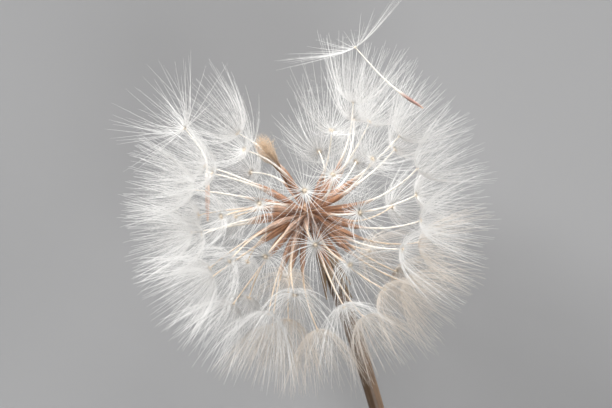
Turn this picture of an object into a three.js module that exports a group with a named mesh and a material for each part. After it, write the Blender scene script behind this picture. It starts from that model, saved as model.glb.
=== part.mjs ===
// A ripe dandelion-type seed head on its cut stem, lying on a surface.
// Millimetres, +Z up. The head's own frame has its origin where the fruits converge.
// A fruit's place is a bearing, in degrees clockwise from +Y seen from above, and an elevation.
import * as THREE from 'three';

// ---- Driving dimensions ----

const HEAD_RADIUS = 37; // to the tips of the hairs
const HUB_RADIUS = 24; // to the top of a beak, where its hairs begin
const HEAD_HEIGHT = 35; // head centre above the surface: the lowest hairs are pressed flat
const RECEPTACLE_RADIUS = 1.9;
const RECEPTACLE_SIDES = 14;
const RECEPTACLE_STEPS = 6;
const FLAT_SHARE = 0.92; // the flat under the receptacle lies this share of its radius below its centre
const CLEARANCE = 0.3; // between pieces that touch in the plant

const FRUIT_THICKNESS = 1.2;
const FRUIT_LENGTH = 9;
const BEAK_THICKNESS = 0.5;
const COLLAR_THICKNESS = 0.9;
const HAIR_SPREAD = 0.5; // radius of a hair bowl over its distance from the head centre
const PLEAT_DEPTH = 0.4; // how far the bowl draws in between two ribs
const SEED_SIDES = 12; // six ribs and six valleys round a bowl

const STEM_THICKNESS_TOP = 1.9;
const STEM_THICKNESS_SWOLLEN = 3.3; // some way under the head
const STEM_THICKNESS_CUT = 3;
const SWOLLEN_SHARE = 0.22; // where the stem is thickest, as a share of its length
const PLAIN_SHARE = 0.5; // where it is as thin as at the cut again
const STEM_WALL = 0.45;
const STEM_REACH = 84; // head centre to the cut end, measured along the surface
const STEM_BEARING = 164;
const STEM_BOW = 2.5; // how far the stem bows sideways from its chord
const STEM_LIFT = 0.02; // lets the pressed hairs, and not the cut end, lie lowest
const STEM_SIDES = 10;
const STEM_STEPS = 16;

const BRACT_START = 2.4; // from the stem's top to the bracts' root
const BRACT_LENGTH = 15;
const BRACT_THICKNESS = 0.45;
const BRACT_NOTCH = 0.35; // where two bracts part, as a share of their length
const BRACT_FLARE = 0.95; // how much wider their ring is at the tips than at the root

// ---- Where the fruits point: [bearing, elevation] ----

const SEED_AIMS = [
  [350, 80], [167, 75], [90, 66], [141, 58], [224, 61], [280, 67], [33, 69],
  [16, 47], [50, 48], [111, 35], [159, 35], [189, 48], [238, 42], [267, 46], [314, 44],
  [34, 27], [94, 22], [135, 28], [201, 27], [258, 28], [292, 33], [236, 17],
  [22, 2], [50, 5], [68, 12], [126, 5], [152, 8], [175, 10], [197, 2], [219, 0], [260, 4], [281, 14],
  [26, -26], [54, -22], [81, -19], [105, -10], [124, -23], [190, -18], [214, -25], [240, -14],
  [268, -19], [294, -14], [318, -24],
  [10, -57], [44, -52], [86, -42], [122, -50], [196, -52], [230, -46], [266, -50], [304, -52],
  [82, -74], [172, -78], [282, -76],
];
const STEM_AIM = [158, -24];
const WITHERED_AIM = [326, 16];
const CAUGHT_AIM = [305, 10];

// ---- Directions and cells ----

function direction([bearing, elevation]) {
  const turn = THREE.MathUtils.degToRad(bearing);
  const rise = THREE.MathUtils.degToRad(elevation);
  const flat = Math.cos(rise);
  return new THREE.Vector3(Math.sin(turn) * flat, Math.cos(turn) * flat, Math.sin(rise));
}

const ALL_DIRECTIONS = [...SEED_AIMS, STEM_AIM, WITHERED_AIM, CAUGHT_AIM].map(direction);

// Every aim owns the cone of space that is nearer to it than to any other aim.
// A wall is the outward normal of the plane between two aims.
function cellWalls(own) {
  return ALL_DIRECTIONS.filter((other) => other.distanceTo(own) > 1e-6).map((other) =>
    other.clone().sub(own).normalize(),
  );
}

// How far one can go from a point along a unit step before meeting a wall.
function roomAlong(point, step, walls) {
  let room = Infinity;
  for (const wall of walls) {
    const closing = wall.dot(step);
    if (closing > 1e-6) {
      room = Math.min(room, (-CLEARANCE / 2 - wall.dot(point)) / closing);
    }
  }
  return Math.max(room, 0);
}

// Two unit vectors across a tangent, in an order that keeps a lathe's faces outward.
function crossAxes(tangent) {
  const reference = Math.abs(tangent.z) < 0.9 ? new THREE.Vector3(0, 0, 1) : new THREE.Vector3(0, 1, 0);
  const first = new THREE.Vector3().crossVectors(tangent, reference).normalize();
  const second = new THREE.Vector3().crossVectors(first, tangent);
  return [first, second];
}

// ---- Materials ----

function material(color, roughness) {
  return new THREE.MeshStandardMaterial({ color, roughness, metalness: 0 });
}

const MAKE_MATERIAL = {
  seed: () => material(0xe9e2d6, 0.6),
  witheredSeed: () => material(0xa9784a, 0.8),
  stem: () => material(0x8a6f50, 0.55),
  receptacle: () => material(0xb98a66, 0.75),
  bracts: () => material(0x8c7350, 0.8),
};

// ---- Seeds: fruit, beak, collar and hair bowl grown as one piece ----

// Thickness along the stalk: [share of the stalk's length, radius].
function stalkProfile(stalkLength) {
  const fruitShare = FRUIT_LENGTH / stalkLength;
  return [
    [0, 0],
    [0, 0.2],
    [0.55 * fruitShare, FRUIT_THICKNESS / 2],
    [fruitShare, 0.4 * FRUIT_THICKNESS],
    [1.3 * fruitShare, BEAK_THICKNESS / 2],
    [0.96, 0.4 * BEAK_THICKNESS],
    [1, COLLAR_THICKNESS / 2],
  ];
}

// The lathe's height counts the stalk as 0 to 1 and the bowl as 1 to 2.
function seedLathe(stalkLength) {
  const bowl = [
    [1.3, 0.6],
    [2, 1],
    [2, 0],
  ];
  const profile = [...stalkProfile(stalkLength), ...bowl];
  const points = profile.map(([height, radius]) => new THREE.Vector2(radius, height));
  return new THREE.LatheGeometry(points, SEED_SIDES);
}

// Carries the straight lathe along the stalk's path, opens its bowl along the axis and pleats it.
// place(bowlShare, spreadShare, side) gives a point of the bowl.
function carrySeed(lathe, path, placeInBowl) {
  const position = lathe.getAttribute('position');
  const pathEnd = path.getTangentAt(1);
  for (let i = 0; i < position.count; i += 1) {
    const across = new THREE.Vector2(position.getX(i), position.getZ(i));
    const height = position.getY(i);
    const inStalk = height <= 1;
    const tangent = inStalk ? path.getTangentAt(height) : pathEnd;
    const [first, second] = crossAxes(tangent);
    const side = first.multiplyScalar(across.x).addScaledVector(second, across.y);
    const point = inStalk
      ? path.getPointAt(height).add(side)
      : placeInBowl(height - 1, across.length(), Math.atan2(across.x, across.y));
    position.setXYZ(i, point.x, point.y, point.z);
  }
  return finish(lathe);
}

function finish(geometry) {
  geometry.computeVertexNormals();
  return geometry;
}

function pleat(angle) {
  return 1 - PLEAT_DEPTH * (0.5 - 0.5 * Math.cos((angle * SEED_SIDES) / 2));
}

// A stalk bows sideways between its root and its hub, round the upright axis.
function bowedStalk(aim, walls, bow) {
  const root = aim.clone().multiplyScalar(RECEPTACLE_RADIUS + CLEARANCE);
  const hub = aim.clone().multiplyScalar(HUB_RADIUS);
  const middle = root.clone().add(hub).multiplyScalar(0.5);
  const aside = new THREE.Vector3(aim.y, -aim.x, 0).normalize();
  const room = roomAlong(middle, aside, walls) - FRUIT_THICKNESS / 2;
  const control = middle.addScaledVector(aside, 2 * Math.max(0, Math.min(bow, room)));
  return new THREE.QuadraticBezierCurve3(root, control, hub);
}

// Draws a point that would sink below the surface back towards the head centre, onto the surface.
function pressedFlat(point) {
  return point.z < -HEAD_HEIGHT ? point.multiplyScalar(HEAD_HEIGHT / -point.z) : point;
}

function attachedSeed(name, aimAngles, bow) {
  const aim = direction(aimAngles);
  const walls = cellWalls(aim);
  const path = bowedStalk(aim, walls, bow);
  const [first, second] = crossAxes(aim);
  const placeInBowl = (heightShare, spreadShare, angle) => {
    const reach = THREE.MathUtils.lerp(HUB_RADIUS, HEAD_RADIUS, heightShare);
    const centre = aim.clone().multiplyScalar(reach);
    const side = first.clone().multiplyScalar(Math.sin(angle)).addScaledVector(second, Math.cos(angle));
    const room = Math.min(roomAlong(centre, side, walls), HAIR_SPREAD * reach);
    const point = centre.addScaledVector(side, room * spreadShare * pleat(angle));
    return pressedFlat(point.setLength(reach));
  };
  const geometry = carrySeed(seedLathe(path.getLength()), path, placeInBowl);
  const mesh = new THREE.Mesh(geometry, MAKE_MATERIAL.seed());
  mesh.name = name;
  return mesh;
}

// A seed that has come away: its stalk follows chosen points and its bowl opens round its own axis.
function looseSeed(name, points, axis, bowlDepth, bowlRadius, walls) {
  const path = new THREE.CatmullRomCurve3(points.map((point) => new THREE.Vector3(...point)));
  const hub = path.getPointAt(1);
  const along = new THREE.Vector3(...axis).normalize();
  const [first, second] = crossAxes(along);
  const placeInBowl = (heightShare, spreadShare, angle) => {
    const centre = hub.clone().addScaledVector(along, bowlDepth * heightShare);
    const side = first.clone().multiplyScalar(Math.sin(angle)).addScaledVector(second, Math.cos(angle));
    const inGlobe = centre.length() < HEAD_RADIUS + 1;
    const room = inGlobe ? Math.min(roomAlong(centre, side, walls), bowlRadius) : bowlRadius;
    return centre.addScaledVector(side, room * spreadShare * pleat(angle));
  };
  const shape = carrySeed(seedLathe(path.getLength()), path, placeInBowl);
  const mesh = new THREE.Mesh(shape, MAKE_MATERIAL.seed());
  mesh.name = name;
  return mesh;
}

// ---- The withered seed: its hairs never opened and stand as a brown brush ----

function witheredSeed() {
  const aim = direction(WITHERED_AIM);
  const rootHeight = RECEPTACLE_RADIUS + CLEARANCE;
  const profile = [
    [0, rootHeight],
    [0.2, rootHeight],
    [0.5, 8],
    [0.45, 11],
    [1.1, 16],
    [1.3, 18.6],
    [0.9, 20.4],
    [0, 21],
  ].map(([radius, height]) => new THREE.Vector2(radius, height));
  const shape = finish(new THREE.LatheGeometry(profile, SEED_SIDES));
  const mesh = new THREE.Mesh(shape, MAKE_MATERIAL.witheredSeed());
  mesh.quaternion.setFromUnitVectors(new THREE.Vector3(0, 1, 0), aim);
  mesh.name = 'withered_seed';
  return mesh;
}

// ---- Stem, receptacle and bracts ----

// From under the receptacle down to the cut end, which lies on the surface.
function stemPath() {
  const outward = direction(STEM_AIM);
  const turn = THREE.MathUtils.degToRad(STEM_BEARING);
  const slope = Math.atan2(HEAD_HEIGHT, STEM_REACH);
  const top = outward.clone().multiplyScalar(RECEPTACLE_RADIUS * FLAT_SHARE + CLEARANCE);
  const cut = new THREE.Vector3(
    Math.sin(turn) * STEM_REACH,
    Math.cos(turn) * STEM_REACH,
    (STEM_THICKNESS_CUT / 2) * Math.cos(slope) + STEM_LIFT - HEAD_HEIGHT,
  );
  const control = top.clone().lerp(cut, 0.5);
  control.x += 2 * STEM_BOW;
  return new THREE.QuadraticBezierCurve3(top, control, cut);
}

// A closed lathe profile, carried along the stem from its top: height is the distance down the stem.
function carryAlongStem(lathe, path) {
  const length = path.getLength();
  const position = lathe.getAttribute('position');
  for (let i = 0; i < position.count; i += 1) {
    const share = THREE.MathUtils.clamp(position.getY(i) / length, 0, 1);
    const [first, second] = crossAxes(path.getTangentAt(share));
    const point = path.getPointAt(share);
    point.addScaledVector(first, position.getX(i)).addScaledVector(second, position.getZ(i));
    position.setXYZ(i, point.x, point.y, point.z);
  }
  return finish(lathe);
}

// The stem swells under the head and narrows again.
function stemRadius(share) {
  const swollen = THREE.MathUtils.smoothstep(share, 0, SWOLLEN_SHARE);
  const narrowed = THREE.MathUtils.smoothstep(share, SWOLLEN_SHARE, PLAIN_SHARE);
  const thickness = THREE.MathUtils.lerp(STEM_THICKNESS_TOP, STEM_THICKNESS_SWOLLEN, swollen);
  return THREE.MathUtils.lerp(thickness, STEM_THICKNESS_CUT, narrowed) / 2;
}

// A tube, closed under the head and open at the cut end.
function stem(path) {
  const length = path.getLength();
  const shares = Array.from({ length: STEM_STEPS + 1 }, (_, step) => step / STEM_STEPS);
  const outside = shares.map((share) => new THREE.Vector2(stemRadius(share), share * length));
  const boreShares = shares.filter((share) => share > 0.04).reverse();
  const inside = boreShares.map((share) => new THREE.Vector2(stemRadius(share) - STEM_WALL, share * length));
  const profile = [new THREE.Vector2(0, 0), ...outside, ...inside, new THREE.Vector2(0, inside.at(-1).y)];
  const mesh = new THREE.Mesh(
    carryAlongStem(new THREE.LatheGeometry(profile, STEM_SIDES), path),
    MAKE_MATERIAL.stem(),
  );
  mesh.name = 'stem';
  return mesh;
}

// A small dome that the fruits stand round, flat where the stem meets it.
function receptacle() {
  const profile = [[0, -FLAT_SHARE]];
  const flatAngle = -Math.asin(FLAT_SHARE);
  for (let step = 0; step < RECEPTACLE_STEPS; step += 1) {
    const angle = THREE.MathUtils.lerp(flatAngle, Math.PI / 2, step / RECEPTACLE_STEPS);
    profile.push([Math.cos(angle), Math.sin(angle)]);
  }
  profile.push([0, 1]);
  const points = profile.map(
    ([radius, height]) => new THREE.Vector2(radius, height).multiplyScalar(RECEPTACLE_RADIUS),
  );
  const shape = finish(new THREE.LatheGeometry(points, RECEPTACLE_SIDES));
  const mesh = new THREE.Mesh(shape, MAKE_MATERIAL.receptacle());
  mesh.quaternion.setFromUnitVectors(new THREE.Vector3(0, -1, 0), direction(STEM_AIM));
  mesh.name = 'receptacle';
  return mesh;
}

// Eight narrow bracts grown together in a ring and folded back along the stem.
function bracts(path) {
  const inner = STEM_THICKNESS_TOP / 2 + CLEARANCE;
  const profile = [
    [inner, 0],
    [inner + BRACT_THICKNESS, 0],
    [inner + BRACT_NOTCH * BRACT_FLARE + BRACT_THICKNESS, BRACT_NOTCH],
    [inner + BRACT_FLARE + BRACT_THICKNESS, 1],
    [inner + BRACT_FLARE, 1],
    [inner + BRACT_NOTCH * BRACT_FLARE, BRACT_NOTCH],
    [inner, 0],
  ].map(([radius, height]) => new THREE.Vector2(radius, height));
  const sides = 16;
  const lathe = new THREE.LatheGeometry(profile, sides);
  const position = lathe.getAttribute('position');
  for (let i = 0; i < position.count; i += 1) {
    const angle = Math.atan2(position.getX(i), position.getZ(i));
    const isNotch = Math.cos((angle * sides) / 2) < 0;
    const height = position.getY(i);
    const shown = isNotch ? height * BRACT_NOTCH : height;
    position.setY(i, BRACT_START + shown * BRACT_LENGTH);
  }
  const mesh = new THREE.Mesh(carryAlongStem(lathe, path), MAKE_MATERIAL.bracts());
  mesh.name = 'bracts';
  return mesh;
}

// ---- The whole object ----

const head = new THREE.Group();
head.position.z = HEAD_HEIGHT;

const path = stemPath();
head.add(stem(path), receptacle(), bracts(path), witheredSeed());

SEED_AIMS.forEach((aimAngles, index) => {
  const bow = 1.5 + 0.8 * Math.sin(2.4 * index);
  head.add(attachedSeed(`seed_${String(index + 1).padStart(2, '0')}`, aimAngles, bow));
});

// One seed caught among the hairs at the head's shoulder, its fruit hanging between the beaks.
head.add(
  looseSeed(
    'caught_seed',
    [
      [-19.4, -1.8, 11.4],
      [-19.5, 7, 11.8],
      [-19.8, 10.2, 9.9],
      [-21.5, 13.1, 7.6],
      [-24.4, 16.7, 5.4],
    ],
    [-0.72, 0.66, 0.2],
    11,
    9,
    cellWalls(direction(CAUGHT_AIM)),
  ),
);

// One seed resting across the tips of the hairs on top.
head.add(
  looseSeed(
    'resting_seed',
    [
      [21.3, 19.3, 25.3],
      [17.2, 22, 26.2],
      [15.3, 23.6, 25.8],
      [8.6, 31, 22.8],
    ],
    [-0.45, 0.85, 0.1],
    7,
    9,
    [],
  ),
);

const box = new THREE.Box3().setFromObject(head);
const middle = box.getCenter(new THREE.Vector3());
head.position.x -= middle.x;
head.position.y -= middle.y;
head.position.z -= box.min.z;

const group = new THREE.Group();
group.add(head);

export default group;
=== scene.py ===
"""A ripe globe-shaped seed head lying on its cut stem: every seed with its feathery hairs, the withered
seed, the receptacle, the bracts and the stem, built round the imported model."""
import math

import bpy
import numpy as np
from bpy.props import FloatProperty, FloatVectorProperty, IntProperty, PointerProperty
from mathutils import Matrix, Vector


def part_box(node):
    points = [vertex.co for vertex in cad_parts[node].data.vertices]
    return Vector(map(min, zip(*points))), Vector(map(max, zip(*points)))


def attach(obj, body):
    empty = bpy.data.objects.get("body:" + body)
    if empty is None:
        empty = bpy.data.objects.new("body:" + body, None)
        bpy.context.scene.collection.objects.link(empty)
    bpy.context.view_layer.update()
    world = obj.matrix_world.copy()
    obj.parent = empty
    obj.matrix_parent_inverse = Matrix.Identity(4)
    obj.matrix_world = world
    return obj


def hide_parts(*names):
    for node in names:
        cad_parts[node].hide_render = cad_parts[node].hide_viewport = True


bl_info = {
    "name": "Seed head",
    "version": (1, 0, 0),
    "blender": (4, 5, 0),
    "location": "3D View > Sidebar > Seed head",
    "description": "Builds a ripe, feathery seed head lying on its cut stem",
    "category": "Add Mesh",
}

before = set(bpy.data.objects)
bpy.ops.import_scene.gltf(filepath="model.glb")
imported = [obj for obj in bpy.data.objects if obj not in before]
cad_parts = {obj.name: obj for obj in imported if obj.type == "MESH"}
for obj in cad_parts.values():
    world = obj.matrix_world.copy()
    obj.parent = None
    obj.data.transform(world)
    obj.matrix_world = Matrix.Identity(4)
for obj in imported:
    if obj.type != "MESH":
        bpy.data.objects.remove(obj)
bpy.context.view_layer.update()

MM = 0.001
FULL_TURN = 2 * math.pi

# Where the fruits point: (bearing clockwise from +Y, elevation), in degrees.
SEED_AIMS = (
    (350, 80), (167, 75), (90, 66), (141, 58), (224, 61), (280, 67), (33, 69),
    (16, 47), (50, 48), (111, 35), (159, 35), (189, 48), (238, 42), (267, 46), (314, 44),
    (34, 27), (94, 22), (135, 28), (201, 27), (258, 28), (292, 33), (236, 17),
    (22, 2), (50, 5), (68, 12), (126, 5), (152, 8), (175, 10), (197, 2), (219, 0), (260, 4), (281, 14),
    (26, -26), (54, -22), (81, -19), (105, -10), (124, -23), (190, -18), (214, -25), (240, -14),
    (268, -19), (294, -14), (318, -24),
    (10, -57), (44, -52), (86, -42), (122, -50), (196, -52), (230, -46), (266, -50), (304, -52),
    (82, -74), (172, -78), (282, -76),
)
WITHERED_AIM = (326, 16)
STEM_AIM = (158, -24)
STEM_BEARING = 164
SWOLLEN_SHARE, PLAIN_SHARE = 0.22, 0.5  # where the stem is thickest, and where it is plain again

# The loose seeds' stalks, from root to hub, in millimetres from the head's centre.
CAUGHT_PATH = (
    (-19.4, -1.8, 11.4), (-19.5, 7, 11.8), (-19.8, 10.2, 9.9), (-21.5, 13.1, 7.6), (-24.4, 16.7, 5.4),
)
RESTING_PATH = ((21.3, 19.3, 25.3), (17.2, 22, 26.2), (15.3, 23.6, 25.8), (8.6, 31, 22.8))

# A bowl: the bristles' angle to the axis at the hub, the angle that they end at, and its scatter, in degrees.
RIPE_BOWL = (88, 24, 5)

# (node, stalk's path, the way the bowl opens, bowl, bristles, fullness, girth, random stream)
LOOSE_SEEDS = (
    ("caught_seed", CAUGHT_PATH, (-0.76, 0.62, 0.2), (74, 48, 26), 44, 0.2, (0.75, 0.9, 1), 7),
    ("resting_seed", RESTING_PATH, (-0.5, 0.85, 0.1), (88, 71, 2.5), 26, 0.18, (0.52, 0.7, 0.62), 8),
)

# Random streams of the pieces; the ripe seeds take one each from SEED_STREAM on.
SEED_STREAM, WITHERED_STREAM, STEM_STREAM, RECEPTACLE_STREAM, BRACT_STREAM = 100, 9, 10, 11, 12

# (name, where it shines from, strength, width in degrees)
LAMPS = (
    ("front", (150, 45), 1.4, 40),
    ("left", (312, 19), 4.6, 22),
    ("back", (25, 13), 2.8, 26),
    ("right", (82, 12), 1.8, 26),
)
WORLD_STRENGTH = 0.2
FLOOR_REACH = 3.0
CAMERA_PLACE = (-0.4, 1.6, 340.0)  # millimetres from the head's centre
CAMERA_LENS = 100

# The strips of a piece's own map: (left, right) edges for the stalk, the bristles and the side hairs.
STALK_STRIP = (0.0, 0.48)
BRISTLE_STRIP = (0.5, 0.74)
SIDE_HAIR_STRIP = (0.76, 1.0)


def middle_of(node):
    """The middle of a node's box, in metres."""
    low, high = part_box(node)
    return (np.array(low) + np.array(high)) / 2


def receptacle_radius():
    """Half the receptacle's width, in metres."""
    low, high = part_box("receptacle")
    return (high[1] - low[1]) / 2


HEAD_CENTRE = middle_of("receptacle")


# ---- Sizes and colours ----


def size(name, description, millimetres):
    return FloatProperty(name=name, description=description, default=millimetres * MM, min=0, unit="LENGTH")


def colour(name, description, default):
    return FloatVectorProperty(
        name=name, description=description, default=default, subtype="COLOR", size=3, min=0, max=1)


class SeedSizes(bpy.types.PropertyGroup):
    root_radius: size("Root distance", "Head centre to a fruit's root", 1.95)
    hub_radius: size("Hub distance", "Head centre to the top of a beak", 24)
    bow: size("Bow", "How far a stalk bows sideways from its chord", 2.1)
    fruit_length: size("Fruit length", "Length of the ribbed fruit", 9.4)
    fruit_thickness: size("Fruit thickness", "Thickness of the ribbed fruit", 1.2)
    beak_thickness: size("Beak thickness", "Thickness of the beak at its lower end", 0.43)
    collar_thickness: size("Collar thickness", "Thickness of the hairy collar", 0.54)
    bristles: IntProperty(name="Bristles", description="Bristles in one hair bowl", default=50, min=3)
    bristle_length: size("Bristle length", "Length of a bristle", 16)
    bristle_thickness: size("Bristle thickness", "Thickness of a bristle at its base", 0.105)
    side_hairs: IntProperty(name="Side hairs", description="Fine hairs on one bristle", default=72, min=0)
    side_hair_length: size("Side hair length", "Longest side hair", 3.6)
    side_hair_thickness: size("Side hair thickness", "Thickness of a side hair at its base", 0.0145)


class StemSizes(bpy.types.PropertyGroup):
    top_thickness: size("Top thickness", "Thickness of the stem at the receptacle", 1.9)
    swollen_thickness: size("Swollen thickness", "Thickness of the stem where it swells under the head", 3.3)
    cut_thickness: size("Cut thickness", "Thickness of the stem at its cut end", 3)
    wall: size("Wall", "Thickness of the hollow stem's wall", 0.45)
    reach: size("Reach", "Head centre to the cut end, along the surface", 84)
    bow: size("Bow", "How far the stem bows sideways from its chord", 2.5)
    bract_start: size("Bract start", "Top of the stem to the bracts' root", 2.4)
    bract_length: size("Bract length", "Length of a bract", 14.5)
    bract_width: size("Bract width", "Widest part of a bract", 1.5)
    bract_thickness: size("Bract thickness", "Thickness of a bract", 0.16)


class PlantColours(bpy.types.PropertyGroup):
    fruit: colour("Fruit", "Ribbed fruits", (0.55, 0.29, 0.165))
    beak: colour("Beak", "Beaks", (0.93, 0.87, 0.78))
    collar: colour("Collar", "Tops of the beaks", (0.88, 0.76, 0.6))
    silver_hair: colour("Silver hair", "Hairs of the upper seeds", (0.93, 0.92, 0.9))
    # Painted shade: a darker, warmer copy of the silver hair, for the seeds on the lower side.
    shaded_hair: colour("Straw hair", "Hairs of the lower seeds", (0.84, 0.765, 0.68))
    withered: colour("Withered", "Withered seed's brush at its root", (0.3, 0.15, 0.07))
    tuft: colour("Tuft", "Withered seed's fuzzy end", (0.93, 0.71, 0.5))
    stem: colour("Stem", "Stem", (0.15, 0.088, 0.047))
    receptacle: colour("Receptacle", "Receptacle", (0.42, 0.22, 0.12))
    bract: colour("Bract", "Dry bracts", (0.36, 0.25, 0.15))
    floor: colour("Floor", "Floor of the studio", (0.315, 0.315, 0.318))


# ---- Shapes as whole arrays ----


def direction(aim):
    """The unit vector of a bearing and an elevation in degrees."""
    bearing, elevation = np.radians(aim)
    flat = math.cos(elevation)
    return np.array([math.sin(bearing) * flat, math.cos(bearing) * flat, math.sin(elevation)])


def unit(vectors):
    """Vectors of length one."""
    return vectors / np.linalg.norm(vectors, axis=-1, keepdims=True)


def cross_axes(tangents):
    """Two unit vectors across each tangent, which with it make a right-handed set."""
    mean = np.abs(tangents.reshape(-1, 3).mean(0))
    reference = np.eye(3)[np.argmin(mean)]
    first = unit(np.cross(tangents, reference))
    return first, np.cross(tangents, first)


def bezier(start, control, end, share):
    """A quadratic Bezier curve: (1-t)^2 start + 2t(1-t) control + t^2 end, and its unit tangents."""
    t = np.asarray(share)[:, None]
    points = (1 - t) ** 2 * start + 2 * t * (1 - t) * control + t**2 * end
    tangents = 2 * (1 - t) * (control - start) + 2 * t * (end - control)
    return points, unit(tangents)


def smooth_path(chosen, share):
    """Points and unit tangents at shares of a curve through the chosen points: a cubic between each two, with
    slopes taken from the neighbours on both sides."""
    steps = np.linalg.norm(np.diff(chosen, axis=0), axis=1)
    knots = np.concatenate([[0], np.cumsum(steps)]) / steps.sum()
    slopes = np.gradient(chosen, knots, axis=0)
    part = np.clip(np.searchsorted(knots, share) - 1, 0, len(steps) - 1)
    width = np.diff(knots)[part][:, None]
    t = (np.asarray(share) - knots[part])[:, None] / width
    start, end = chosen[part], chosen[part + 1]
    rise, fall = slopes[part] * width, slopes[part + 1] * width
    points = (2 * t**3 - 3 * t**2 + 1) * start + (t**3 - 2 * t**2 + t) * rise
    points = points + (3 * t**2 - 2 * t**3) * end + (t**3 - t**2) * fall
    tangents = (6 * t**2 - 6 * t) * (start - end) + (3 * t**2 - 4 * t + 1) * rise + (3 * t**2 - 2 * t) * fall
    return points, unit(tangents)


def tube(points, tangents, radii, around):
    """Rings across a path: point + radius * (first axis * cos angle + second axis * sin angle), closed by a
    pole at each end. Radii are (rings,) or (rings, around). Gives vertices and triangles."""
    rings = len(points)
    angle = np.linspace(0, FULL_TURN, around, endpoint=False)
    first, second = cross_axes(tangents)
    radii = np.broadcast_to(radii[:, None] if radii.ndim == 1 else radii, (rings, around))
    spokes = first[:, None] * np.cos(angle)[:, None] + second[:, None] * np.sin(angle)[:, None]
    vertices = (points[:, None] + radii[..., None] * spokes).reshape(-1, 3)
    vertices = np.concatenate([vertices, points[:1], points[-1:]])
    ring = np.arange(rings - 1)[:, None] * around
    here = np.arange(around)
    there = (here + 1) % around
    a, b = ring + here, ring + there
    c, d = b + around, a + around
    sides = np.stack([a, b, c, a, c, d], -1).reshape(-1, 3)
    low_pole, high_pole, last = rings * around, rings * around + 1, (rings - 1) * around
    bottom = np.stack([np.full(around, low_pole), there, here], -1)
    top = np.stack([np.full(around, high_pole), last + here, last + there], -1)
    return vertices, np.concatenate([sides, bottom, top])


def tube_map(triangles, rings, around, along, strip=(0.0, 1.0)):
    """The corners' places in the map: u runs round the tube inside a strip, v follows the share along it.
    A pole sits in the middle of its own face, and a face across the seam keeps its corners side by side."""
    low_pole, high_pole = triangles == rings * around, triangles == rings * around + 1
    pole = low_pole | high_pole
    ring_vertex = np.minimum(triangles, rings * around - 1)
    turn = (ring_vertex % around) / around
    across_seam = (turn.max(1) - turn.min(1) > 0.5)[:, None]
    turn = np.where(across_seam & (turn < 0.5), turn + 1, turn)
    middle = np.where(pole, 0, turn).sum(1, keepdims=True) / np.maximum((~pole).sum(1, keepdims=True), 1)
    turn = np.where(pole, middle, turn) / (1 + 1 / around)
    beyond = 0.004
    v = np.where(low_pole, along[0] - beyond, along[ring_vertex // around])
    v = np.where(high_pole, along[-1] + beyond, v)
    u = strip[0] + (strip[1] - strip[0]) * np.clip(turn, 0, 1)
    return np.stack([u, 0.005 + 0.99 * np.clip(v, 0, 1)], -1)


def build_mesh(name, parts, materials):
    """One mesh object from parts of (vertices, triangles, corner places in the map, material index)."""
    starts = np.cumsum([0] + [len(part[0]) for part in parts])
    vertices = np.concatenate([part[0] for part in parts]).astype(np.float32)
    triangles = np.concatenate([part[1] + start for part, start in zip(parts, starts)]).astype(np.int32)
    corners = np.concatenate([part[2].reshape(-1, 2) for part in parts]).astype(np.float32)
    slots = np.concatenate([np.full(len(part[1]), part[3], np.int32) for part in parts])
    count = len(triangles)
    mesh = bpy.data.meshes.new(name)
    mesh.vertices.add(len(vertices))
    mesh.vertices.foreach_set("co", vertices.ravel())
    mesh.loops.add(count * 3)
    mesh.loops.foreach_set("vertex_index", triangles.ravel())
    mesh.polygons.add(count)
    mesh.polygons.foreach_set("loop_start", np.arange(0, count * 3, 3, dtype=np.int32))
    mesh.polygons.foreach_set("loop_total", np.full(count, 3, np.int32))
    mesh.polygons.foreach_set("material_index", slots)
    mesh.polygons.foreach_set("use_smooth", np.ones(count, bool))
    mesh.uv_layers.new(name="OFBake").data.foreach_set("uv", corners.ravel())
    for material in materials:
        mesh.materials.append(material)
    mesh.update(calc_edges=True)
    mesh.validate()
    piece = bpy.data.objects.new(name, mesh)
    bpy.context.scene.collection.objects.link(piece)
    return piece


def rest_on_floor(points, margin):
    """Lifts what would sink below the surface to a margin above it."""
    points[..., 2] = np.maximum(points[..., 2], margin)
    return points


def stand_for(piece, node):
    """Hands a finished piece to the frame in place of its CAD node."""
    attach(piece, "root")
    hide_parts(node)


# ---- One seed ----


def stalk_part(path_at, length, sizes, rng, girth):
    """Fruit, beak and collar as one tube. Radius = spindle + (beak - spindle) * s-curve past the fruit's end,
    plus a bell-shaped collar at the hub. Ten ribs multiply the fruit's radius by
    1 + 0.07 cos 10a + 0.06 cos 5a + a little noise. Girth scales the fruit's thickness, the beak's thickness
    and the fruit's length."""
    around = 20
    share = np.concatenate([np.linspace(0, 0.48, 22), np.linspace(0.51, 0.95, 12), np.linspace(0.962, 1, 7)])
    along = share * length / (girth[2] * sizes.fruit_length)
    places = [0, 0.06, 0.2, 0.5, 0.8, 0.95, 1.12, 1.35, 3]
    fullness = [0.28, 0.42, 0.74, 1, 0.92, 0.72, 0.52, 0.45, 0.4]
    spindle = np.interp(along, places, fullness) * girth[0] * sizes.fruit_thickness / 2
    beak = np.interp(share, [0, 0.45, 0.95, 1], [1, 1, 0.62, 0.6]) * girth[1] * sizes.beak_thickness / 2
    past_fruit = 1 / (1 + np.exp(-(along - 1.12) * 14))
    collar = np.exp(-(((share - 0.986) / 0.012) ** 2)) * (sizes.collar_thickness / 2 - beak)
    radius = spindle + (beak - spindle) * past_fruit + collar
    angle = np.linspace(0, FULL_TURN, around, endpoint=False)
    ribs = 0.07 * np.cos(10 * angle) + 0.06 * np.cos(5 * angle)
    relief = ribs + 0.02 * rng.standard_normal((len(share), around))
    radii = radius[:, None] * (1 + relief * (1 - past_fruit)[:, None])
    points, tangents = path_at(share)
    vertices, triangles = tube(points, tangents, radii, around)
    return vertices, triangles, tube_map(triangles, len(share), around, share, STALK_STRIP), 0


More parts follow.
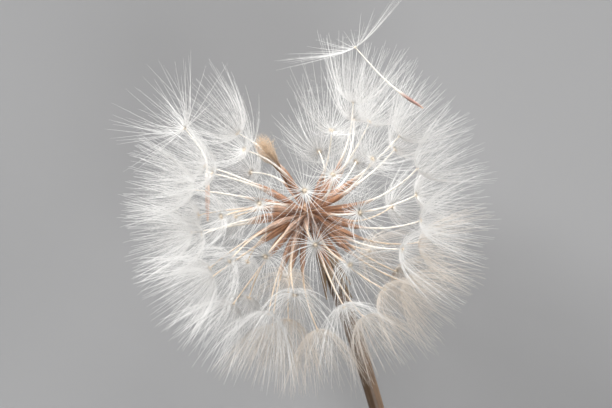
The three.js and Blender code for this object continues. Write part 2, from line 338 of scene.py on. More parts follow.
def bristle_paths(hub, axis, sizes, rng, bowl, count):
    """Where the bristles run: each leaves the collar's rim at a wide angle to the axis and soon turns
    towards it. Point = hub + sum of (axis * cos lean + outward * sin lean) * step, where
    lean = narrow + (wide - narrow) * exp(-share / 0.2). Each bristle has its own wide and narrow angle."""
    sections = 10
    share = np.linspace(0, 1, sections) ** 1.25
    wide, narrow, scatter = bowl
    first, second = cross_axes(axis[None])
    bearing = (np.arange(count) + rng.uniform(-0.35, 0.35, count)) * FULL_TURN / count
    finish = np.radians(narrow + rng.normal(0, scatter, count))
    start = np.maximum(np.radians(wide + rng.normal(0, 0.6 * scatter, count)), finish)
    lean = finish[:, None] + (start - finish)[:, None] * np.exp(-share / 0.2)
    lean = lean + rng.normal(0, 0.04, count)[:, None] * np.sin(math.pi * share)
    drift = bearing[:, None] + rng.normal(0, 0.06, count)[:, None] * share**2
    outward = first * np.cos(drift)[..., None] + second * np.sin(drift)[..., None]
    heading = axis * np.cos(lean)[..., None] + outward * np.sin(lean)[..., None]
    length = sizes.bristle_length * rng.uniform(0.84, 1.06, count)
    step = length[:, None] * np.diff(share)
    middle = (heading[:, 1:] + heading[:, :-1]) / 2
    run = np.concatenate([np.zeros((count, 1, 3)), np.cumsum(middle * step[..., None], axis=1)], axis=1)
    rim = outward[:, :1] * sizes.collar_thickness * 0.3
    return hub + rim + run, unit(heading), share


def strands(points, headings, radius, shade, along, strip, slot):
    """Three-sided strands carried along many paths at once: rings of three vertices, closed at both ends.
    Radius is (sections,). Each strand lies in its own lane of the map's strip, and v follows its length."""
    count, sections = points.shape[:2]
    first, second = cross_axes(headings.reshape(-1, 3))
    first, second = first.reshape(points.shape), second.reshape(points.shape)
    angle = np.arange(3) * FULL_TURN / 3
    spokes = first[:, :, None] * np.cos(angle)[:, None] + second[:, :, None] * np.sin(angle)[:, None]
    vertices = (points[:, :, None] + radius[:, None, None] * spokes).reshape(-1, 3)
    strand = np.arange(count)[:, None, None] * sections * 3
    ring = np.arange(sections - 1)[None, :, None] * 3
    here, there = np.arange(3), (np.arange(3) + 1) % 3
    a, b = strand + ring + here, strand + ring + there
    c, d = b + 3, a + 3
    sides = np.stack([a, b, c, a, c, d], -1).reshape(-1, 3)
    base = strand[:, 0] + np.array([0, 2, 1])
    tip = strand[:, 0] + (sections - 1) * 3 + np.array([0, 1, 2])
    triangles = np.concatenate([sides, base, tip])
    lane = shade[triangles // (sections * 3)] + (triangles % 3 - 1) * 0.06
    u = strip[0] + (strip[1] - strip[0]) * lane
    v = 0.01 + 0.98 * along[(triangles // 3) % sections]
    return vertices, triangles, np.stack([u, v], -1), slot


def spikes(base, heading, length, thickness, shade, along, strip, slot):
    """Fine hairs as closed spikes: three vertices round the base and one at base + heading * length."""
    total = len(base)
    first, second = cross_axes(heading)
    angle = np.arange(3) * FULL_TURN / 3
    ring = first[:, None] * np.cos(angle)[:, None] + second[:, None] * np.sin(angle)[:, None]
    foot = base[:, None] + thickness / 2 * ring
    vertices = np.concatenate([foot, (base + heading * length[:, None])[:, None]], axis=1).reshape(-1, 3)
    faces = np.array([[0, 1, 3], [1, 2, 3], [2, 0, 3], [0, 2, 1]])
    triangles = (np.arange(total)[:, None, None] * 4 + faces).reshape(-1, 3)
    spread = np.array([-0.05, 0.0, 0.05, 0.0])[triangles % 4]
    rise = np.array([0.0, 0.0, 0.0, 0.08])[triangles % 4]
    u = strip[0] + (strip[1] - strip[0]) * (shade[triangles // 4] + spread)
    v = 0.01 + 0.9 * along[triangles // 4] + rise
    return vertices, triangles, np.stack([u, v], -1), slot


def side_hair_part(points, headings, axis, share, sizes, rng, each):
    """Fine hairs that lean from each bristle towards its neighbours and web the bowl, longest low down. The
    bristles' last quarter stays bare. Heading = bristle's heading * cos lean + sideways * sin lean."""
    count = len(points)
    owner = np.repeat(np.arange(count), each)
    total = len(owner)
    place = 0.015 + 0.72 * rng.uniform(0, 1, total)
    low = np.clip(np.searchsorted(share, place) - 1, 0, len(share) - 2)
    part = ((place - share[low]) / (share[low + 1] - share[low]))[:, None]
    base = points[owner, low] * (1 - part) + points[owner, low + 1] * part
    along = unit(headings[owner, low] * (1 - part) + headings[owner, low + 1] * part)
    sideways = unit(np.cross(axis, along))
    outward = np.cross(along, sideways)
    hand = np.where(rng.uniform(0, 1, total) < 0.5, -1.0, 1.0)[:, None]
    away = unit(sideways * hand + outward * rng.normal(0, 0.15, total)[:, None])
    lean = np.radians(rng.uniform(34, 74, total))[:, None]
    heading = along * np.cos(lean) + away * np.sin(lean)
    length = sizes.side_hair_length * np.interp(place, [0, 0.1, 0.5, 0.74], [0.6, 1, 0.8, 0.35])
    length = length * rng.uniform(0.5, 1.1, total)
    shade = rng.uniform(0.1, 0.9, total)
    return spikes(base, heading, length, sizes.side_hair_thickness, shade, place, SIDE_HAIR_STRIP, 2)


def seed_piece(name, path_at, length, axis, rng, materials, bowl, count, fullness, girth=(1, 1, 1), burst=0):
    """A whole seed: stalk, bristles and side hairs in one mesh. Burst thickens the bristles at the hub, by
    1 + burst * exp(-share / 0.13)."""
    sizes = bpy.context.scene.seed_sizes
    hub = path_at(np.array([0.985]))[0][0]
    points, headings, share = bristle_paths(hub, axis, sizes, rng, bowl, count)
    points = rest_on_floor(points, 0.1 * MM)
    sparse = 1 - min(fullness, 1)
    taper = np.interp(share, [0, 0.06, 0.5, 1], [0.8, 1, 0.75 - 0.2 * sparse, 0.28 - 0.18 * sparse])
    radius = sizes.bristle_thickness / 2 * taper * (1 + burst * np.exp(-share / 0.13))
    shade = rng.uniform(0.1, 0.9, len(points))
    parts = [
        stalk_part(path_at, length, sizes, rng, girth),
        strands(points, headings, radius, shade, share, BRISTLE_STRIP, 1),
        side_hair_part(points, headings, axis, share, sizes, rng, int(sizes.side_hairs * fullness)),
    ]
    for part in parts:
        rest_on_floor(part[0], 0.02 * MM)
    return build_mesh(name, parts, materials)


# ---- Stem, receptacle and bracts ----


def stem_path(share):
    """The stem's middle line: a Bezier curve from under the receptacle down to the cut end on the surface."""
    sizes = bpy.context.scene.stem_sizes
    top = HEAD_CENTRE + direction(STEM_AIM) * receptacle_radius()
    slope = math.atan2(HEAD_CENTRE[2], sizes.reach)
    cut = HEAD_CENTRE + direction((STEM_BEARING, 0)) * sizes.reach
    cut[2] = sizes.cut_thickness / 2 * math.cos(slope)
    control = (top + cut) / 2 + np.array([2 * sizes.bow, 0, 0])
    return bezier(top, control, cut, share)


def stem_length():
    points, _ = stem_path(np.linspace(0, 1, 60))
    return float(np.linalg.norm(np.diff(points, axis=0), axis=1).sum())


def smooth_step(t):
    """From 0 to 1 as 3t^2 - 2t^3, and level on both sides."""
    t = np.clip(t, 0, 1)
    return 3 * t**2 - 2 * t**3


def stem_radius(share):
    """Outer radius: half the thickness, which swells from the top's to the swollen part's on one smooth step
    and narrows to the cut end's on another."""
    sizes = bpy.context.scene.stem_sizes
    swell = smooth_step(share / SWOLLEN_SHARE)
    narrow = smooth_step((share - SWOLLEN_SHARE) / (PLAIN_SHARE - SWOLLEN_SHARE))
    thickness = sizes.top_thickness + (sizes.swollen_thickness - sizes.top_thickness) * swell
    return (thickness + (sizes.cut_thickness - thickness) * narrow) / 2


def stem_part(rng):
    """The hollow stem as one tube folded back on itself: rings run down the outside to the cut and back up
    the bore. Outside radius = plain radius * slow swellings * (1 + 0.018 cos 12a + 0.01 cos (5a + 1)). The
    cut is a little ragged: its rings shift along the stem by 0.1 mm * (sin 3a + 0.6 sin (7a + 2))."""
    sizes = bpy.context.scene.stem_sizes
    around = 48
    outside = np.concatenate([[0.0, 0.002], np.linspace(0.012, 0.994, 110), [1.0]])
    inside = np.concatenate([[1.0], np.linspace(0.994, 0.72, 16)])
    share = np.concatenate([outside, inside])
    inner = np.arange(len(share)) >= len(outside)
    points, tangents = stem_path(share)
    angle = np.linspace(0, FULL_TURN, around, endpoint=False)
    swell = np.interp(share, np.linspace(0, 1, 14), 1 + 0.02 * rng.standard_normal(14))
    ridges = 1 + 0.018 * np.cos(12 * angle) + 0.01 * np.cos(5 * angle + 1)
    outer = (stem_radius(share) * swell)[:, None] * ridges
    outer[0] *= 0.8
    wall = np.where(inner, sizes.wall, 0)[:, None]
    ragged = 0.1 * MM * (np.sin(3 * angle) + 0.6 * np.sin(7 * angle + 2))
    vertices, triangles = tube(points, tangents, outer - wall, around)
    near_cut = np.exp(-(((share - 1) / 0.004) ** 2))
    shift = (near_cut[:, None] * ragged)[..., None] * tangents[:, None]
    vertices[: len(share) * around] += shift.reshape(-1, 3)
    run = np.concatenate([0.72 * outside, 0.74 + 0.26 * (1 - inside) / 0.28])
    return rest_on_floor(vertices, 0.02 * MM), triangles, tube_map(triangles, len(share), around, run), 0


def receptacle_part(rng):
    """A small dome as a tube along the stem's direction: radius = R * cos t at height R * sin t, flat under
    the stem, with a shallow pit for each fruit, where R falls by
    6% * exp(-(angle to the nearest fruit / 7 degrees)^2)."""
    around, rings = 48, 30
    top = -direction(STEM_AIM)
    first, second = cross_axes(top[None])
    tilt = np.linspace(-0.36 * math.pi, 0.497 * math.pi, rings)[:, None, None]
    angle = np.linspace(0, FULL_TURN, around, endpoint=False)[None, :, None]
    spoke = first * np.cos(angle) + second * np.sin(angle)
    heading = top * np.sin(tilt) + spoke * np.cos(tilt)
    aims = np.array([direction(aim) for aim in SEED_AIMS])
    nearest = np.degrees(np.arccos(np.clip((heading @ aims.T).max(-1, keepdims=True), -1, 1)))
    pits = 0.06 * np.exp(-((nearest / 7) ** 2))
    radius = receptacle_radius() * (1 - pits + 0.008 * rng.standard_normal(nearest.shape))
    grid = HEAD_CENTRE + heading * radius
    vertices, triangles = tube(grid.mean(1), np.broadcast_to(top, (rings, 3)), np.ones(rings), around)
    vertices[: rings * around] = grid.reshape(-1, 3)
    return vertices, triangles, tube_map(triangles, rings, around, np.linspace(0, 1, rings)), 0


def bract_part(turn, rng):
    """One dry bract as a closed blade folded back along the stem. Across runs from -1 to 1 and along from 0
    to 1. Half its width = W / 2 * (1 - along^1.6)^0.8 * small waves. Its offset from the stem's skin =
    0.35 mm + (0.5 to 1 mm) * along^2 - (0.3 + 0.5 along) * across^2 * half width, plus a crease in the
    middle, so its sides curl towards the stem and its tip bends away."""
    sizes = bpy.context.scene.stem_sizes
    total = stem_length()
    along = np.linspace(0, 1, 26)
    across = np.linspace(-1, 1, 9)
    length = sizes.bract_length * rng.uniform(0.85, 1.08)
    share = (sizes.bract_start + along * length) / total
    points, tangents = stem_path(share)
    first, second = cross_axes(tangents)
    bearing = turn + 0.25 * rng.standard_normal() * along**2
    outward = first * np.cos(bearing)[:, None] + second * np.sin(bearing)[:, None]
    sideways = np.cross(tangents, outward)
    waves = 1 + 0.06 * np.sin(9 * along + turn)
    half = sizes.bract_width / 2 * (1 - along**1.6) ** 0.8 * waves + 0.03 * MM
    lift = stem_radius(share) + 0.35 * MM + rng.uniform(0.5, 1) * MM * along**2
    curl = (0.3 + 0.5 * along)[:, None] * across[None] ** 2 * half[:, None]
    crease = 0.12 * MM * np.exp(-((across / 0.18) ** 2))
    height = lift[:, None] - curl + crease
    shell = []
    for side in (-0.5, 0.5):
        raised = height + side * sizes.bract_thickness
        shell.append(points[:, None] + outward[:, None] * raised[..., None]
                     + sideways[:, None] * (across * half[:, None])[..., None])
    loop = np.concatenate([shell[1], shell[0][:, ::-1]], axis=1)
    rings, around = loop.shape[:2]
    vertices, triangles = tube(loop.mean(1), tangents, np.ones(rings), around)
    vertices[: rings * around] = loop.reshape(-1, 3)
    turned = sideways_is_clockwise(loop, tangents)
    triangles = triangles[:, ::-1] if turned else triangles
    return vertices, triangles, tube_map(triangles, rings, around, along), 0


def sideways_is_clockwise(loop, tangents):
    """True when a closed loop of points runs clockwise as seen along the path's tangents."""
    ring = loop[0] - loop[0].mean(0)
    area = np.cross(ring, np.roll(ring, -1, axis=0)).sum(0)
    return float(area @ tangents[0]) < 0


def bract_ring_part():
    """The ring that the bracts share: a short sleeve round the stem whose rings run down its outside and back
    up its bore, joined at the seam. Radius = the stem's radius + a gap for each ring."""
    sizes = bpy.context.scene.stem_sizes
    total = stem_length()
    run = np.array([-0.5, 0, 0.8, 1.6, 1.6, 0.8, 0, -0.5])
    gap = np.array([0.2, 0.5, 0.55, 0.35, 0.05, 0.05, 0.05, 0.05]) * MM
    share = (sizes.bract_start + run * MM) / total
    points, tangents = stem_path(share)
    around = 32
    vertices, triangles = tube(points, tangents, stem_radius(share) + gap, around)
    rings = len(run)
    sides = triangles[: (rings - 1) * around * 2]
    here = np.arange(around)
    there = (here + 1) % around
    last = (rings - 1) * around
    seam = np.stack([last + here, last + there, there, last + here, there, here], -1).reshape(-1, 3)
    triangles = np.concatenate([sides, seam])
    corners = tube_map(triangles, rings, around, np.linspace(0, 1, rings))
    return vertices[: rings * around], triangles, corners, 0


# ---- The withered seed ----


def withered_parts(rng):
    """A shrunken fruit with a brush of hairs that never opened. The fruit is a tube whose radius is a spindle
    * (1 + 0.14 cos 5a + noise). The brush's strands start inside the fruit's top, stay together as a neck and
    then spread into a ragged tuft: point = centre + aim * rise + spread * (first cos b + second sin b). Fuzz
    stands out from the strands."""
    aim = direction(WITHERED_AIM)
    first, second = cross_axes(aim[None])
    rings, around = 34, 16
    share = np.linspace(0, 1, rings)
    height = (1.95 + 9.6 * share) * MM
    path = HEAD_CENTRE + aim * height[:, None]
    radii = np.interp(share, [0, 0.1, 0.45, 0.75, 0.9, 1], [0.2, 0.3, 0.5, 0.38, 0.3, 0.3]) * MM
    angle = np.linspace(0, FULL_TURN, around, endpoint=False)
    wrinkled = radii[:, None] * (1 + 0.14 * np.cos(5 * angle) + 0.06 * rng.standard_normal((rings, around)))
    vertices, triangles = tube(path, np.broadcast_to(aim, path.shape), wrinkled, around)
    fruit = vertices, triangles, tube_map(triangles, rings, around, share, STALK_STRIP), 0
    count, sections = 110, 9
    along = np.linspace(0, 1, sections)
    bearing = rng.uniform(0, FULL_TURN, count)[:, None] + rng.normal(0, 0.7, count)[:, None] * along
    rank = rng.uniform(0, 1, count)[:, None] ** 0.7
    wave = 0.3 * np.sin(7 * along + 3 * bearing) * along
    spread = rank * (np.interp(along, [0, 0.4, 0.75, 1], [0.45, 0.85, 1.6, 1.9]) + wave) * MM
    top = (6.2 * rng.uniform(0.62, 1.12, count)[:, None] + 0.8 * (1 - rank)) * MM
    rise = 10.6 * MM + along * top
    points = HEAD_CENTRE + aim * rise[..., None] + spread[..., None] * (
        first * np.cos(bearing)[..., None] + second * np.sin(bearing)[..., None])
    headings = unit(np.gradient(points, axis=1))
    radius = 0.05 * MM * np.interp(along, [0, 0.2, 1], [1.4, 1, 0.3])
    brush = strands(points, headings, radius, rng.uniform(0.1, 0.9, count), along, BRISTLE_STRIP, 1)
    fuzzy = 5200
    owner = rng.integers(0, count, fuzzy)
    low = np.clip((sections * rng.uniform(0.2, 1, fuzzy) ** 0.6).astype(int), 0, sections - 1)
    away = unit(rng.standard_normal((fuzzy, 3)))
    heading = unit(headings[owner, low] + 0.9 * away)
    length = rng.uniform(0.4, 1.5, fuzzy) * (0.4 + 0.6 * along[low]) * MM
    shade = rng.uniform(0.1, 0.9, fuzzy)
    fuzz = spikes(points[owner, low], heading, length, 0.02 * MM, shade, along[low], SIDE_HAIR_STRIP, 1)
    return [fruit, brush, fuzz]


# ---- Materials ----


def new_material(name, roughness):
    material = bpy.data.materials.new(name)
    material.use_nodes = True
    shader = material.node_tree.nodes["Principled BSDF"]
    shader.inputs["Roughness"].default_value = roughness
    return material, material.node_tree, shader


def node_group(name, inputs, outputs):
    """An empty shader group and its two ends, with sockets given as (name, kind)."""
    tree = bpy.data.node_groups.new(name, "ShaderNodeTree")
    for in_out, sockets in (("INPUT", inputs), ("OUTPUT", outputs)):
        for label, kind in sockets:
            tree.interface.new_socket(label, in_out=in_out, socket_type=f"NodeSocket{kind}")
    return tree, tree.nodes.new("NodeGroupInput").outputs, tree.nodes.new("NodeGroupOutput").inputs


def place_group(tree, name, values):
    """A group placed in a material, with its values set or linked."""
    node = tree.nodes.new("ShaderNodeGroup")
    node.node_tree = bpy.data.node_groups[name]
    for label, value in values.items():
        feed(tree, value, node.inputs[label])
    return node.outputs


def feed(tree, value, socket):
    """Links a socket, or sets a number or a colour on it."""
    if isinstance(value, bpy.types.NodeSocket):
        tree.links.new(value, socket)
    elif isinstance(value, (int, float)):
        socket.default_value = value
    else:
        socket.default_value = (*value, 1)


def mix(tree, factor, first, second, blend="MIX"):
    node = tree.nodes.new("ShaderNodeMix")
    node.data_type = "RGBA"
    node.blend_type = blend
    sockets = [socket for socket in node.inputs if socket.enabled]
    for socket, value in zip(sockets, (factor, first, second)):
        feed(tree, value, socket)
    return [socket for socket in node.outputs if socket.enabled][0]


def spread_between(tree, value, low, high, new_low=0.0, new_high=1.0):
    """A value carried smoothly from one range to another."""
    node = tree.nodes.new("ShaderNodeMapRange")
    node.interpolation_type = "SMOOTHSTEP"
    for label, number in (
        ("Value", value), ("From Min", low), ("From Max", high), ("To Min", new_low), ("To Max", new_high),
    ):
        feed(tree, number, node.inputs[label])
    return node.outputs["Result"]


def own_map(tree):
    """The piece's own map as two numbers: across and along."""
    node = tree.nodes.new("ShaderNodeUVMap")
    node.uv_map = "OFBake"
    split = tree.nodes.new("ShaderNodeSeparateXYZ")
    tree.links.new(node.outputs["UV"], split.inputs["Vector"])
    return split.outputs["X"], split.outputs["Y"]


def noise(tree, vector, scale):
    node = tree.nodes.new("ShaderNodeTexNoise")
    node.inputs["Detail"].default_value = 4
    feed(tree, scale, node.inputs["Scale"])
    feed(tree, vector, node.inputs["Vector"])
    return node.outputs["Fac"]


def make_hair_tint():
    """Strand tint: a root colour that soon gives way to the hair's colour, each strand a little different."""
    tree, given, result = node_group(
        "strand_tint", [("Root", "Color"), ("Hair", "Color"), ("Root share", "Float"), ("Darkest", "Float")],
        [("Colour", "Color")])
    across, along = own_map(tree)
    grown = spread_between(tree, along, 0.0, given["Root share"])
    colour_along = mix(tree, grown, given["Root"], given["Hair"])
    node = tree.nodes.new("ShaderNodeTexNoise")
    node.noise_dimensions = "1D"
    node.inputs["Scale"].default_value = 60
    tree.links.new(across, node.inputs["W"])
    lightness = spread_between(tree, node.outputs["Fac"], 0.3, 0.7, given["Darkest"], 1.0)
    feed(tree, mix(tree, 1.0, colour_along, lightness, "MULTIPLY"), result["Colour"])


def make_mottle():
    """Mottle: patchy lightness over a colour, from noise in the object's own space, and its height."""
    tree, given, result = node_group(
        "mottle", [("Colour", "Color"), ("Scale", "Float"), ("Darkest", "Float")],
        [("Colour", "Color"), ("Height", "Float")])
    place = tree.nodes.new("ShaderNodeTexCoord").outputs["Object"]
    patches = noise(tree, place, given["Scale"])
    lightness = spread_between(tree, patches, 0.3, 0.7, given["Darkest"], 1.15)
    feed(tree, mix(tree, 1.0, given["Colour"], lightness, "MULTIPLY"), result["Colour"])
    feed(tree, patches, result["Height"])


def make_streaks():
    """Streaks: fine lines along the piece's own map, as on a dry stem or a bract."""
    tree, given, result = node_group(
        "streaks", [("Colour", "Color"), ("Line colour", "Color"), ("Lines", "Float"), ("Length", "Float")],
        [("Colour", "Color"), ("Height", "Float")])
    across, along = own_map(tree)
    combined = tree.nodes.new("ShaderNodeCombineXYZ")
    for value, factor, label in ((across, given["Lines"], "X"), (along, given["Length"], "Y")):
        scaled = tree.nodes.new("ShaderNodeMath")
        scaled.operation = "MULTIPLY"
        feed(tree, value, scaled.inputs[0])
        feed(tree, factor, scaled.inputs[1])
        tree.links.new(scaled.outputs[0], combined.inputs[label])
    lines = noise(tree, combined.outputs["Vector"], 1.0)
    shown = spread_between(tree, lines, 0.38, 0.62)
    feed(tree, mix(tree, shown, given["Line colour"], given["Colour"]), result["Colour"])
    feed(tree, lines, result["Height"])


def bump(tree, height, distance, shader):
    """Small relief from a height over the surface."""
    node = tree.nodes.new("ShaderNodeBump")
    node.inputs["Strength"].default_value = 0.6
    node.inputs["Distance"].default_value = distance
    tree.links.new(height, node.inputs["Height"])
    tree.links.new(node.outputs["Normal"], shader.inputs["Normal"])


def stalk_material(name, colours, fruit, beak, fruit_end, beak_start):
    """Streaked fruit, cream beak and tan collar along the stalk, mottled and finely pitted."""
    material, tree, shader = new_material(name, 0.42)
    _, along = own_map(tree)
    streaks = place_group(
        tree, "streaks", {"Colour": fruit, "Line colour": darker(fruit, 0.38), "Lines": 20, "Length": 3})
    root = spread_between(tree, along, 0.0, 0.07)
    whole = mix(tree, root, (0.72, 0.48, 0.32), streaks["Colour"])
    whole = mix(tree, spread_between(tree, along, fruit_end, beak_start), whole, beak)
    whole = mix(tree, spread_between(tree, along, 0.955, 0.985), whole, tuple(colours.collar))
    patches = place_group(tree, "mottle", {"Colour": whole, "Scale": 1500, "Darkest": 0.85})
    tree.links.new(patches["Colour"], shader.inputs["Base Color"])
    bump(tree, patches["Height"], 0.02 * MM, shader)
    return material


def hair_material(name, hair, root, root_share, darkest=0.82):
    material, tree, shader = new_material(name, 0.4)
    tint = place_group(
        tree, "strand_tint", {"Root": root, "Hair": hair, "Root share": root_share, "Darkest": darkest})
    tree.links.new(tint["Colour"], shader.inputs["Base Color"])
    return material


def streaked_material(name, plain, line, lines, length, roughness, relief):
    """A dry plant skin: streaks along it with a mottle over them."""
    material, tree, shader = new_material(name, roughness)
    streaks = place_group(
        tree, "streaks", {"Colour": plain, "Line colour": line, "Lines": lines, "Length": length})
    patches = place_group(tree, "mottle", {"Colour": streaks["Colour"], "Scale": 260, "Darkest": 0.8})
    tree.links.new(patches["Colour"], shader.inputs["Base Color"])
    bump(tree, streaks["Height"], relief, shader)
    return material


def receptacle_material(colours):
    material, tree, shader = new_material("receptacle", 0.8)
    patches = place_group(
        tree, "mottle", {"Colour": tuple(colours.receptacle), "Scale": 1500, "Darkest": 0.55})
    tree.links.new(patches["Colour"], shader.inputs["Base Color"])
    bump(tree, patches["Height"], 0.1 * MM, shader)
    return material


def darker(shade, factor):
    return tuple(factor * channel for channel in shade)


# ---- Operators ----


def seed_materials(stalk, tint):
    """The stalk's material and two hair materials of a tint: silver, or the darker, warmer tint that paints
    shade.
    """
    return [bpy.data.materials[name] for name in (f"{stalk}_stalk", f"{tint}_bristle", f"{tint}_side_hair")]


class SEEDHEAD_OT_materials(bpy.types.Operator):
    """Mix the plant's materials from the colours"""

    bl_idname = "seedhead.materials"
    bl_label = "Materials"

    def execute(self, context):
        colours = context.scene.plant_colours
        make_hair_tint()
        make_mottle()
        make_streaks()
        fruit, beak = tuple(colours.fruit), tuple(colours.beak)
        # Painted shade: a darker, warmer copy of the beak, for the stalks of the lower seeds and of the low
        # seeds that face upwards.
        shaded_beak = tuple(a * b for a, b in zip(beak, (0.86, 0.75, 0.64)))
        stalk_material("silver_stalk", colours, fruit, beak, 0.36, 0.56)
        stalk_material("straw_stalk", colours, fruit, shaded_beak, 0.36, 0.62)
        stalk_material("facing_stalk", colours, (0.74, 0.5, 0.37), shaded_beak, 0.36, 0.62)
        # Partly its own colour, partly painted light: the caught seed's fruit is paler and pinker, and its
        # pale beak colour reaches further down, lifting a stalk that lies in shade.
        stalk_material("caught_stalk", colours, (0.78, 0.52, 0.41), beak, 0.12, 0.5)
        stalk_material("resting_stalk", colours, (0.6, 0.35, 0.29), beak, 0.18, 0.36)
        root = (0.88, 0.76, 0.6)
        # The second tint is painted shade: darker, warmer hairs for the seeds that face down and to the lower
        # right.
        for tint, hair in (("silver", tuple(colours.silver_hair)), ("straw", tuple(colours.shaded_hair))):
            hair_material(f"{tint}_bristle", hair, root, 0.06)
            hair_material(f"{tint}_side_hair", hair, root, 0.04)
        hair_material("withered_brush", tuple(colours.tuft), tuple(colours.withered), 0.75, 0.55)
        stem = tuple(colours.stem)
        bract = tuple(colours.bract)
        streaked_material("stem_skin", stem, darker(stem, 0.78), 22, 5, 0.45, 0.03 * MM)
        streaked_material("bract_skin", bract, darker(bract, 0.55), 30, 4, 0.7, 0.05 * MM)
        withered = tuple(colours.withered)
        streaked_material("withered_fruit", withered, darker(withered, 0.4), 20, 6, 0.7, 0.05 * MM)
        receptacle_material(colours)
        return {"FINISHED"}


def stalk_kind(aim, angles):
    """Silver stalks above; below, stalks whose beak is a darker, warmer copy painted as shade, with paler
    fruits where a low seed faces upwards.
    """
    if angles[1] > 40 and 120 < angles[0] < 280:
        return "facing"
    return "straw" if aim[1] + 0.4 * aim[2] < -0.15 else "silver"


def stalk_bow(index, lower_left, facing_up):
    """How far a stalk bows sideways: bow * (0.85 + 0.4 sin 2.4i), less where the seed faces upwards and at
    the lower left, where 1.6 mm * sin (1.2i + 6) is added so that the fruits fan out evenly."""
    leftness = max(0, lower_left) ** 2
    bow = bpy.context.scene.seed_sizes.bow * (0.85 + 0.4 * math.sin(2.4 * index))
    bow = bow * (1 - 0.85 * leftness) * (1 - 1.2 * facing_up**2)
    return bow + 1.6 * MM * math.sin(1.2 * index + 6) * leftness


class SEEDHEAD_OT_seeds(bpy.types.Operator):
    """Build the ripe seeds that stand round the receptacle"""

    bl_idname = "seedhead.seeds"
    bl_label = "Seeds"

    def execute(self, context):
        sizes = context.scene.seed_sizes
        for index, angles in enumerate(SEED_AIMS):
            rng = np.random.default_rng(SEED_STREAM + index)
            aim = direction(angles)
            root = HEAD_CENTRE + aim * sizes.root_radius
            hub = HEAD_CENTRE + aim * sizes.hub_radius
            aside = unit(np.array([aim[1], -aim[0], 0.0]))
            lower_left = float(aim @ direction((225, 0)))
            facing_up = float(np.interp(angles[1], [30, 60, 80], [0, 0.6, 0.74]))
            control = (root + hub) / 2 + aside * 2 * stalk_bow(index, lower_left, facing_up)

            def path_at(share):
                return bezier(root, control, hub, share)

            axis = unit(0.7 * aim + 0.3 * path_at([1.0])[1][0])
            fullness = (0.85 + 0.2 * lower_left) * (1 - facing_up)
            count = int(sizes.bristles * (1 - 0.5 * facing_up))
            # Painted shade: seeds that face down and to the lower right take the darker, warmer hair.
            tint = "straw" if aim @ direction((150, -20)) > 0.6 else "silver"
            materials = seed_materials(stalk_kind(aim, angles), tint)
            piece = seed_piece(
                f"seed_look_{index + 1:02d}", path_at, float(np.linalg.norm(hub - root)), axis, rng,
                materials, RIPE_BOWL, count, fullness, burst=1.7 * facing_up)
            stand_for(piece, f"seed_{index + 1:02d}")
        return {"FINISHED"}


class SEEDHEAD_OT_loose_seeds(bpy.types.Operator):
    """Build the two loose seeds, one caught in the hairs and one resting across them"""

    bl_idname = "seedhead.loose_seeds"
    bl_label = "Loose seeds"

    def execute(self, context):
        for node, chosen, axis, bowl, count, fullness, girth, stream in LOOSE_SEEDS:
            places = HEAD_CENTRE + np.array(chosen) * MM

            def path_at(share):
                return smooth_path(places, share)

            length = float(np.linalg.norm(np.diff(places, axis=0), axis=1).sum())
            piece = seed_piece(
                f"{node}_look", path_at, length, unit(np.array(axis)), np.random.default_rng(stream),
                seed_materials(node[:-5], "silver"), bowl, count, fullness, girth)
            stand_for(piece, node)
        return {"FINISHED"}


class SEEDHEAD_OT_withered_seed(bpy.types.Operator):
    """Build the withered seed with its brown, unopened brush"""

    bl_idname = "seedhead.withered_seed"
    bl_label = "Withered seed"

    def execute(self, context):
        materials = [bpy.data.materials[name] for name in ("withered_fruit", "withered_brush")]
        parts = withered_parts(np.random.default_rng(WITHERED_STREAM))
        piece = build_mesh("withered_seed_look", parts, materials)
        stand_for(piece, "withered_seed")
        return {"FINISHED"}


class SEEDHEAD_OT_stem(bpy.types.Operator):
    """Build the hollow stem, down to its cut end"""

    bl_idname = "seedhead.stem"
    bl_label = "Stem"

    def execute(self, context):
        parts = [stem_part(np.random.default_rng(STEM_STREAM))]
        piece = build_mesh("stem_look", parts, [bpy.data.materials["stem_skin"]])
        stand_for(piece, "stem")
        return {"FINISHED"}


class SEEDHEAD_OT_receptacle(bpy.types.Operator):
    """Build the small pitted dome that the fruits stand on"""

    bl_idname = "seedhead.receptacle"
    bl_label = "Receptacle"

    def execute(self, context):
        parts = [receptacle_part(np.random.default_rng(RECEPTACLE_STREAM))]
        piece = build_mesh("receptacle_look", parts, [bpy.data.materials["receptacle"]])
        stand_for(piece, "receptacle")
        return {"FINISHED"}


class SEEDHEAD_OT_bracts(bpy.types.Operator):
    """Build the ring of dry bracts folded back along the stem"""

    bl_idname = "seedhead.bracts"
    bl_label = "Bracts"

    def execute(self, context):
        rng = np.random.default_rng(BRACT_STREAM)
        blades = [bract_part(turn, rng) for turn in np.arange(8) * FULL_TURN / 8]
        piece = build_mesh("bracts_look", [bract_ring_part(), *blades], [bpy.data.materials["bract_skin"]])
        stand_for(piece, "bracts")
        return {"FINISHED"}


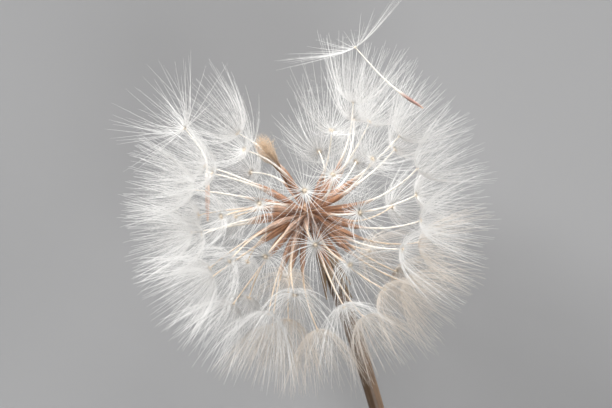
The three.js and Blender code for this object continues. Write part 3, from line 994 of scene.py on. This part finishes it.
class SEEDHEAD_OT_stage(bpy.types.Operator):
    """Set out the pale floor, the soft studio lights and the camera above"""

    bl_idname = "seedhead.stage"
    bl_label = "Stage"

    def execute(self, context):
        scene = context.scene
        mesh = bpy.data.meshes.new("floor")
        corners = [(FLOOR_REACH * x, FLOOR_REACH * y, 0) for x, y in ((-1, -1), (1, -1), (1, 1), (-1, 1))]
        mesh.from_pydata(corners, [], [(0, 1, 2, 3)])
        material, _, shader = new_material("floor", 0.9)
        shader.inputs["Base Color"].default_value = (*scene.plant_colours.floor, 1)
        shader.inputs["Specular IOR Level"].default_value = 0
        mesh.materials.append(material)
        floor = bpy.data.objects.new("floor", mesh)
        scene.collection.objects.link(floor)
        world = bpy.data.worlds.new("studio")
        world.use_nodes = True
        background = world.node_tree.nodes["Background"]
        background.inputs["Color"].default_value = (1.0, 1.0, 1.0, 1)
        background.inputs["Strength"].default_value = WORLD_STRENGTH
        scene.world = world
        for name, aim, strength, width in LAMPS:
            lamp = bpy.data.lights.new(name, "SUN")
            lamp.energy = strength
            lamp.angle = math.radians(width)
            light = bpy.data.objects.new(name, lamp)
            light.rotation_euler = Vector(-direction(aim)).to_track_quat("-Z", "Y").to_euler()
            scene.collection.objects.link(light)
        scene.view_settings.view_transform = "Standard"
        camera_data = bpy.data.cameras.new("camera")
        camera_data.lens = CAMERA_LENS
        camera_data.sensor_width = 36
        camera_data.clip_start = 0.01
        camera = bpy.data.objects.new("camera", camera_data)
        camera.location = HEAD_CENTRE + np.array(CAMERA_PLACE) * MM
        scene.collection.objects.link(camera)
        scene.camera = camera
        return {"FINISHED"}


class SEEDHEAD_PT_panel(bpy.types.Panel):
    """Buttons for each group of pieces, in the order in which they are made"""

    bl_idname = "SEEDHEAD_PT_panel"
    bl_label = "Seed head"
    bl_space_type = "VIEW_3D"
    bl_region_type = "UI"
    bl_category = "Seed head"

    def draw(self, context):
        for operator in OPERATORS:
            self.layout.operator(operator.bl_idname)
        for group in (context.scene.seed_sizes, context.scene.stem_sizes, context.scene.plant_colours):
            box = self.layout.box()
            for name in group.bl_rna.properties.keys():
                if name not in ("rna_type", "name"):
                    box.prop(group, name)


OPERATORS = (
    SEEDHEAD_OT_materials, SEEDHEAD_OT_stage, SEEDHEAD_OT_stem, SEEDHEAD_OT_receptacle, SEEDHEAD_OT_bracts,
    SEEDHEAD_OT_seeds, SEEDHEAD_OT_loose_seeds, SEEDHEAD_OT_withered_seed,
)
PROPERTY_GROUPS = (("seed_sizes", SeedSizes), ("stem_sizes", StemSizes), ("plant_colours", PlantColours))


def register():
    for name, group in PROPERTY_GROUPS:
        bpy.utils.register_class(group)
        setattr(bpy.types.Scene, name, PointerProperty(type=group))
    for cls in (*OPERATORS, SEEDHEAD_PT_panel):
        bpy.utils.register_class(cls)


def unregister():
    for cls in (SEEDHEAD_PT_panel, *reversed(OPERATORS)):
        bpy.utils.unregister_class(cls)
    for name, group in reversed(PROPERTY_GROUPS):
        delattr(bpy.types.Scene, name)
        bpy.utils.unregister_class(group)


def main():
    register()
    bpy.ops.seedhead.materials()
    bpy.ops.seedhead.stage()
    bpy.ops.seedhead.stem()
    bpy.ops.seedhead.receptacle()
    bpy.ops.seedhead.bracts()
    bpy.ops.seedhead.seeds()
    bpy.ops.seedhead.loose_seeds()
    bpy.ops.seedhead.withered_seed()


if __name__ == "__main__":
    main()
